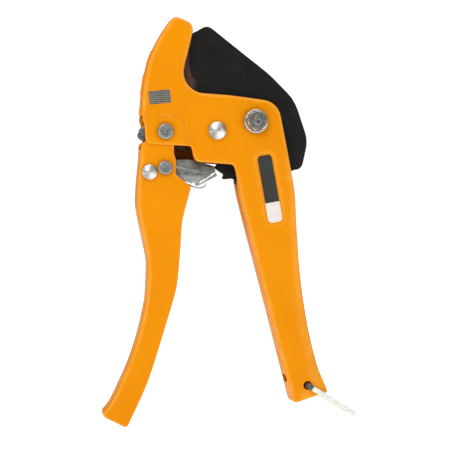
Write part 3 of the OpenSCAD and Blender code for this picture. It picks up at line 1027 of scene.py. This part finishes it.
def build_blade():
    """Flat blade with a ground edge along its belly, a thin chamfer round the rest and its saw teeth."""
    node = "cutting_blade"
    face = front_of(node)
    outline = counter_clockwise(loops_of(border(middle_section(node)))[0])
    outline = even_loop(smooth_loop(outline, 0.5, 16), 0.5)
    ground = even_loop(loops_of(border(face_edges(node, face)))[0], 0.5)
    ground = ground[distance_round(ground, outline) > 2.5]
    belly = belly_of(outline, ground)
    starts, ends = belly[:-1], belly[1:]

    def height(points):
        gap = distance_to(points, starts, ends)
        return np.minimum(face, EDGE_HALF + gap * (face - EDGE_HALF) / BEVEL_WIDTH)

    line = bevel_points(belly, outline)
    line = line[distance_to(line, starts, ends) > BEVEL_WIDTH - 0.4]
    extra = grid(outline.min(axis=0), outline.max(axis=0), 2.4)
    extra = extra[distance_to(extra, starts, ends) > 0.8]
    extra = extra[np.abs(distance_to(extra, starts, ends) - BEVEL_WIDTH) > 0.9]
    verts, faces, marks = pressed_half(outline, np.zeros(len(outline)), 0.25, height,
                                       [circle((0, 0), HUB_R, 48)], np.vstack([extra, line]), 1)
    both, all_faces = two_halves(verts, faces)
    piece = make_object("blade", both, all_faces + hub_faces(verts), np.tile(marks, 2))
    gap = distance_to(verts[:, :2], starts, ends)
    mark_vertices(piece, "bevel", np.tile(np.clip((BEVEL_WIDTH - gap) / 0.5, 0, 1), 2))
    tidy_mesh(piece, 0.01)
    smooth(piece, 12)
    return piece


def bevel_points(belly, outline):
    """Three rows of points along the inner border of the ground edge."""
    line = []
    for p, q in zip(belly[:-1], belly[1:]):
        way = (q - p) / max(np.hypot(*(q - p)), 1e-9)
        across = np.array([way[1], -way[0]])
        side = 1 if inside((p + 1.5 * across)[None, :], outline)[0] else -1
        line += [p + (BEVEL_WIDTH + shift) * across * side for shift in BEVEL_ROWS]
    return np.array(line)


def hub_faces(verts):
    """The wall of the hub's hole, between the two halves."""
    count = len(verts)
    ring = [i for i in range(count) if abs(np.hypot(verts[i][0], verts[i][1]) - HUB_R) < 0.01]
    ring.sort(key=lambda i: math.atan2(verts[i][1], verts[i][0]))
    return [(a, b, b + count, a + count) for a, b in zip(ring, ring[1:] + ring[:1])]


def middle_section(node):
    """Edges of the node's section in the middle plane."""
    bm = bmesh.new()
    bm.from_mesh(NODES[node].data)
    bmesh.ops.remove_doubles(bm, verts=bm.verts, dist=1e-7)
    cut = bmesh.ops.bisect_plane(bm, geom=bm.verts[:] + bm.edges[:] + bm.faces[:], dist=1e-8,
                                 plane_co=ORIGIN, plane_no=(0, 1, 0), clear_inner=True)
    edges = []
    for e in cut["geom_cut"]:
        if isinstance(e, bmesh.types.BMEdge):
            loop = next(lp for lp in e.link_faces[0].loops if lp.edge == e)
            edges.append((key(loop.vert.co), key(loop.link_loop_next.vert.co)))
    bm.free()
    return edges


def belly_of(outline, ground):
    """The longest stretch of the outline that runs along the ground edge."""
    near = np.array([np.min(np.hypot(*(ground - p).T)) for p in outline]) < 8.5
    chosen = near & (outline[:, 0] < -14) & (outline[:, 1] < outline[:, 1].max() - 12)
    n = len(outline)
    runs = []
    for start in range(n):
        if chosen[start] and not chosen[start - 1]:
            length = next(k for k in range(1, n + 1) if not chosen[(start + k) % n])
            runs.append([outline[(start + k) % n] for k in range(length)])
    return np.array(max(runs, key=len))


# --- Small sheet parts, softened from their CAD solids ---

def softened_copy(node, name, width):
    """A copy of a CAD solid with clean flats and rounded edges."""
    mesh = NODES[node].data.copy()
    mesh.name = name
    mesh.materials.clear()
    piece = add_object(name, mesh)
    bm = bmesh.new()
    bm.from_mesh(mesh)
    bmesh.ops.remove_doubles(bm, verts=bm.verts, dist=0.002 * MM)
    bmesh.ops.dissolve_limit(bm, angle_limit=math.radians(1), verts=bm.verts, edges=bm.edges)
    bm.to_mesh(mesh)
    bm.free()
    round_rim(piece, width)
    smooth(piece)
    return piece


# --- Wires and strips swept along a path ---

def heading(path, i):
    return (path[min(i + 1, len(path) - 1)] - path[max(i - 1, 0)]).normalized()


def swept(name, path, section, ups):
    """Sweeps a section, a list of side and up offsets in mm, along a path in metres."""
    verts = []
    for i, p in enumerate(path):
        way = heading(path, i)
        up = (ups[i] - way * ups[i].dot(way)).normalized()
        side = way.cross(up)
        verts += [p + side * s * MM + up * u * MM for s, u in section]
    faces = ring_faces(len(path), len(section)) + end_faces(len(path), len(section))
    piece = make_object(name, verts, faces, np.zeros(len(verts)))
    tidy_mesh(piece, 0.001)
    return piece


def round_section(r, count=14):
    return [(r * math.cos(2 * math.pi * k / count), r * math.sin(2 * math.pi * k / count))
            for k in range(count)]


def strip_section(width, thick, r=0.2):
    """Flat strip with rounded corners."""
    section = []
    for cx, cy, start in ((width / 2 - r, thick / 2 - r, 0), (-width / 2 + r, thick / 2 - r, 90),
                          (-width / 2 + r, -thick / 2 + r, 180), (width / 2 - r, -thick / 2 + r, 270)):
        for k in range(4):
            a = math.radians(start + 30 * k)
            section.append((cx + r * math.cos(a), cy + r * math.sin(a)))
    return section


def rounded_path(points, r, steps=7):
    """A path in metres through corner points, each turned into an arc-like bend."""
    out = [points[0]]
    for i in range(1, len(points) - 1):
        a = (points[i - 1] - points[i])
        b = (points[i + 1] - points[i])
        cut = min(r * MM, 0.49 * a.length, 0.49 * b.length)
        p, q = points[i] + a.normalized() * cut, points[i] + b.normalized() * cut
        for k in range(steps + 1):
            u = k / steps
            out.append(p * (1 - u) ** 2 + points[i] * 2 * u * (1 - u) + q * u ** 2)
    out.append(points[-1])
    return out


BAIL_WIDTH = 2.9
BAIL_BEND = 2.0
BAIL_TIP = 6.2
BAIL_THICK = 1.6
BAIL_REACH = 31.4
BAIL_LEAN = -31.5


def build_bail():
    """One flat strip: an end bent into each shell, two legs and the far bar."""
    hinge = PIVOT["bail_pivot"]
    t = front_of("locking_bail") - BAIL_THICK / 2
    reach = BAIL_REACH - BAIL_THICK / 2
    way = Vector((math.cos(math.radians(BAIL_LEAN)), 0, math.sin(math.radians(BAIL_LEAN))))
    across = Vector((0, -MM, 0))
    far = hinge + way * reach * MM
    corners = [hinge + across * BAIL_TIP, hinge + across * t, far + across * t,
               far - across * t, hinge - across * t, hinge - across * BAIL_TIP]
    bent = rounded_path(corners, BAIL_BEND)
    path = [bent[0]]
    for p, q in zip(bent, bent[1:]):
        stops = max(1, round((q - p).length / MM / 0.4))
        path += [p.lerp(q, k / stops) for k in range(1, stops + 1)]
    side = way.cross(BACKWARDS).normalized()
    ups = [heading(path, i).cross(side).normalized() for i in range(len(path))]
    piece = swept("bail_strip", path, strip_section(BAIL_WIDTH, BAIL_THICK), ups)
    along = [(vertex.co - hinge).dot(way) / MM for vertex in piece.data.vertices]
    # painted reflection: the bent ends are marked to turn dark
    bends = [max(min((3.4 - u) / 0.5, 1), min((u - reach) / 0.3, 1), 0) for u in along]
    mark_vertices(piece, "edge", bends)
    smooth(piece)
    return piece


def coil(centre, r, low, high, start, sweep):
    steps = int(abs(sweep) / 9)
    out = []
    for i in range(steps + 1):
        a = math.radians(start + sweep * i / steps)
        out.append((centre[0] + r * math.cos(a), centre[1] + r * math.sin(a),
                    low + (high - low) * i / steps))
    return out


def build_spring(name, first, turns, last, wire):
    path = [row(*p) for p in first + turns + last]
    ups = [BACKWARDS] * len(path)
    piece = swept(name, path, round_section(wire, 12), ups)
    smooth(piece, 50)
    return piece


# How far each bead's foot and top lie from its box's left side, and the phase of its ripples
WELDS = {"seam_weld_low": (0.35, 0.6, 0.4), "seam_weld_middle": (0.35, 2.4, 1.1),
         "seam_weld_top": (0.35, 3.6, 2.0)}
WELD_RIPPLE = 1.25


def build_weld(node):
    """A painted bead with overlapping ripples and tapering ends."""
    low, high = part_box(node)
    start, end, phase = WELDS[node]
    p0 = Vector((low.x + start * MM + 0.9 * MM, ORIGIN.y, low.z))
    p1 = Vector((low.x + end * MM + 0.9 * MM, ORIGIN.y, high.z))
    length = (p1 - p0).length / MM
    steps, count = int(length / 0.22), 22
    verts = []
    for i in range(steps + 1):
        u = i / steps
        s = u * length
        ripple = abs(math.sin(math.pi * s / WELD_RIPPLE + phase)) ** 0.6
        taper = min(1.0, math.sqrt(max(min(s, length - s), 0.0) / 1.3 + 0.02))
        r = (1.22 + 0.22 * ripple + 0.08 * math.sin(3.1 * s + phase)) * taper
        centre = p0.lerp(p1, u)
        for k in range(count):
            a = 2 * math.pi * k / count
            lag = 0.35 * math.cos(a)
            verts.append(centre + Vector((r * 0.95 * math.cos(a) * MM, r * 1.25 * math.sin(a) * MM,
                                          lag * 0.3 * MM)))
    faces = ring_faces(steps + 1, count) + end_faces(steps + 1, count)
    piece = make_object(node + "_bead", verts, faces, [0.3] * len(verts))
    tidy_mesh(piece, 0.001)
    smooth(piece, 60)
    return piece


# --- Build ---

orange = paint("orange_paint", (0.80, 0.275, 0.0012), (0.76, 0.245, 0.0010), (0.93, 0.42, 0.06))
orange_shade = paint("shaded_paint", (0.30, 0.075, 0.008), (0.20, 0.045, 0.006), (0.5, 0.15, 0.03), 0.5)
weld_paint = paint("weld_paint", (0.86, 0.25, 0.006), (0.74, 0.19, 0.004), (0.98, 0.36, 0.04), 0.4)
worn_zinc = metal("worn_zinc", (0.36, 0.38, 0.37), (0.15, 0.16, 0.16), 0.40, 900, spots=0.6,
                  bright=(0.44, 0.45, 0.43))
# the marked lobes take a near-white colour: a painted reflection
dome_zinc = metal("dome_zinc", (0.42, 0.43, 0.38), (0.32, 0.33, 0.29), 0.42, 300, spots=0.1,
                  bright=(0.95, 0.95, 0.92), relief=0.12)
bolt_zinc = metal("bolt_zinc", (0.36, 0.36, 0.34), (0.18, 0.18, 0.17), 0.32, 700, spots=0.5,
                  bright=(0.80, 0.80, 0.76))
turned_steel = metal("turned_steel", (0.46, 0.46, 0.44), (0.30, 0.30, 0.29), 0.32)
wire_steel = metal("wire_steel", (0.62, 0.62, 0.59), (0.34, 0.34, 0.33), 0.28)
pawl_zinc = metal("pawl_zinc", (0.42, 0.44, 0.41), (0.24, 0.26, 0.24), 0.36, 620,
                  (1, 1, 26, 0, 0.75, 0), 0.3, relief=0.35)
# the marked colour is dark brown: painted shade on the lever inside the shells
lever_zinc = metal("lever_zinc", (0.26, 0.26, 0.24), (0.07, 0.06, 0.05), 0.34, 520,
                   bright=(0.035, 0.018, 0.012), relief=0.4)
# the marked colour is dark grey: a painted dark reflection at the bail's bends
bail_steel = metal("bail_steel", (0.86, 0.87, 0.79), (0.80, 0.82, 0.73), 0.34, 420,
                   (1, 1, 10, 0, 0.55, 0), bright=grey(0.10), relief=0.3, metallic=0.15)
fold_steel = metal("fold_steel", (0.78, 0.80, 0.74), (0.66, 0.68, 0.62), 0.24, 260,
                   (1, 1, 1, 0, 0, 0), relief=0.05)
bronze = metal("bush_bronze", (0.58, 0.36, 0.14), (0.36, 0.21, 0.08), 0.35)
black_coat = blade_coating()

dress(build_shell("front_shell_skin", 1, True), orange, "painted_steel", "body", "front_shell")
dress(build_shell("rear_shell_skin", -1, False), orange, "painted_steel", "body", "rear_shell")
dress(build_handle(), orange, "painted_steel", "handle", "moving_handle")

for weld_node in WELDS:
    dress(build_weld(weld_node), weld_paint, "weld", "body", weld_node)

nut = hex_part("flange_nut", 1, front_of("blade_pivot_nut"), 12, 2.7)
dress(nut, bolt_zinc, "bolt_zinc", "body", "blade_pivot_nut")
dress(build_bolt(), bolt_zinc, "bolt_zinc", "body", "blade_pivot_bolt")

for rivet_node in RIVETS:
    head_domed, rivet_body = RIVETS[rivet_node][3:]
    rivet_look = dome_zinc if head_domed else worn_zinc
    rivet_slot = "rivet_domed" if head_domed else "rivet_flat"
    dress(build_rivet(rivet_node), rivet_look, rivet_slot, rivet_body, rivet_node)

dress(build_blade(), black_coat, "blade_coat", "blade", "cutting_blade")
dress(softened_copy("drive_pawl", "pawl_channel", 0.28), pawl_zinc, "pawl_zinc", "pawl", "drive_pawl")
FOLD_R = 0.75
fold_path = [row(-21.6, -28.0, 3.1), row(-26.2, -31.2, 3.1), row(-31.0, -33.9, 3.1)]
fold = swept("pawl_fold", fold_path, round_section(FOLD_R, 16), [BACKWARDS] * 3)
smooth(fold, 50)
dress(fold, fold_steel, "pawl_zinc", "pawl")
lever = softened_copy("release_lever", "lever_channel", 0.3)
# painted shade: the lever's part inside the shells is marked to turn dark brown
mark_vertices(lever, "edge", [float(flat(v.co)[0] > -59) for v in lever.data.vertices])
dress(lever, lever_zinc, "pawl_zinc", "lever", "release_lever")
guard = softened_copy("pawl_guard", "guard_cheek", 0.2)
dress(guard, orange_shade, "painted_shade", "handle", "pawl_guard")
dress(build_bail(), bail_steel, "bail_steel", "bail", "locking_bail")

A = flat(PIVOT["handle_pivot"])
B = flat(PIVOT["pawl_pivot"])
return_spring = build_spring("return_spring_wire", [(-61.4, -22, 3.7), (-57.4, -13, 3.7)],
                             coil(A, 5.4, 3.7, 6.6, 180, -810),
                             [(-46, -0.7, 6.6), (-40.8, -0.7, 6.6)], wire=0.6)
dress(return_spring, wire_steel, "spring_steel", None, "handle_return_spring")
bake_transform(return_spring, "body", "handle", row(-52, -8, 4), row(-54, -13, 4))
lever_wire = build_spring("lever_spring_wire", [(-39.6, -12.6, -3.5), (-45, -11.4, -3.5)],
                          coil(A, 5.1, -3.5, -5.4, 270, -900),
                          [(-46, -1, -5.4), (-42, -1.2, -5.4)], wire=0.3)
dress(lever_wire, wire_steel, "spring_steel", "body", "lever_spring")
pawl_wire = build_spring("pawl_spring_wire", [
    (-26.6, -34.2, -2.2), (-26.4, -35.4, -2.2), (-28.6, -36.6, -2.4), (-32, -36.4, -3.4),
    (-40, -33, -3.6), (-46, -30.6, -3.6)], coil(B, 4.4, -3.6, -5.6, 270, -720),
    [(-55, -31.6, -5.6), (-60.4, -31.8, -5.6)], wire=0.45)
dress(pawl_wire, wire_steel, "spring_steel", None, "pawl_spring")
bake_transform(pawl_wire, "handle", "pawl", row(-46, -30.6, -3), row(-38, -33, -3))

CAD_LOOKS = {
    "label_dark": film("dark_film", (0.024, 0.025, 0.022), (0.018, 0.018, 0.016)),
    "label_pale": film("pale_film", (0.80, 0.74, 0.70), (0.72, 0.66, 0.62)),
    "small_sticker": sticker_film(),
    "blade_bush": bronze,
}
for cad_node in ("blade_sleeve_front", "blade_sleeve_rear", "handle_sleeve_front", "handle_sleeve_rear",
                 "stop_sleeve", "anchor_sleeve", "pawl_spacer_front", "pawl_spacer_rear"):
    CAD_LOOKS[cad_node] = turned_steel
for cad_node, look in CAD_LOOKS.items():
    NODES[cad_node].data.materials.clear()
    NODES[cad_node].data.materials.append(look)


# --- Studio ---

CAMERA_TURN = -9
CAMERA_DISTANCE = 0.9
FRAME_WIDTH = 0.2475
SENSOR = 36
FLOOR_RADII = (0.0, 0.4, 1.2, 3.0, 7.0)
FLOOR_DROP = -0.0005
# Offset from the camera's target, width and height, power
LIGHTS = {
    "key": ((-0.55, -1.1, 0.75), (0.5, 0.7), 6.6),
    "fill": ((0.9, -0.9, 0.25), (0.25, 0.9), 2.2),
    "left": ((-1.2, -0.25, 0.2), (0.5, 0.9), 2.0),
    "top": ((0.1, 0.1, 1.3), (0.9, 0.9), 5),
}


def build_floor():
    """Pale round floor under the tool's lowest point, which glows more for the camera."""
    count = 72
    turns = [2 * math.pi * i / count for i in range(count)]
    verts = [(r * math.cos(a), r * math.sin(a), FLOOR_DROP) for r in FLOOR_RADII for a in turns]
    piece = make_object("studio_floor", verts, ring_faces(len(FLOOR_RADII), count))
    tidy_mesh(piece, 0.001)
    look = Look(bpy.data.materials.new("floor_white"))
    look.cover(look.mottle(grey(0.90), grey(0.92), 3, 2), 0.9)
    seen = look.output("ShaderNodeLightPath", "Is Camera Ray")
    glow = look.maths("MULTIPLY_ADD", seen, 0.5, 0.45)
    look.give(look.shader, {"Emission Color": (1, 1, 1), "Emission Strength": glow})
    piece.data.materials.append(look.owner)


def build_world():
    """Soft room light on the tool, and plain white behind it."""
    world = bpy.data.worlds.new("studio")
    bpy.context.scene.world = world
    look = Look(world)
    split = look.nodes.new("ShaderNodeSeparateXYZ")
    look.give(split, {"Vector": look.output("ShaderNodeTexCoord", "Generated")})
    shade = look.ramp(split.outputs["Z"], (0.0, grey(0.62)), (0.30, grey(0.16)), (0.62, grey(0.85)),
                      (0.9, grey(1.0)))
    room_light = look.nodes["Background"]
    look.give(room_light, {"Color": shade, "Strength": 0.66})
    white = look.nodes.new("ShaderNodeBackground")
    look.give(white, {"Color": (1, 1, 1), "Strength": 1.1})
    either = look.nodes.new("ShaderNodeMixShader")
    look.give(either, {0: look.output("ShaderNodeLightPath", "Is Camera Ray"),
                       1: room_light.outputs[0], 2: white.outputs[0]})
    look.give(look.nodes["World Output"], {"Surface": either.outputs[0]})


def aim(thing, place, target):
    thing.location = place
    thing.rotation_euler = (target - place).to_track_quat("-Z", "Y").to_euler()


def build_lights(centre):
    for name, (offset, size, power) in LIGHTS.items():
        data = bpy.data.lights.new(name, "AREA")
        data.shape = "RECTANGLE"
        data.size, data.size_y = size
        data.energy = power
        aim(add_object(name, data), centre + Vector(offset), centre)


def build_camera(target):
    """Straight on, a little to the left of the front."""
    azimuth = math.radians(CAMERA_TURN)
    data = bpy.data.cameras.new("camera")
    data.sensor_width = SENSOR
    data.lens = SENSOR * CAMERA_DISTANCE / FRAME_WIDTH
    data.clip_end = 20
    camera = add_object("camera", data)
    aim(camera, target + CAMERA_DISTANCE * Vector((math.sin(azimuth), -math.cos(azimuth), 0)), target)
    bpy.context.scene.camera = camera


bpy.context.scene.view_settings.view_transform = "Standard"
aim_point = row(-17.2, -57.2, 9)
build_camera(aim_point)
build_floor()
build_world()
build_lights(aim_point)
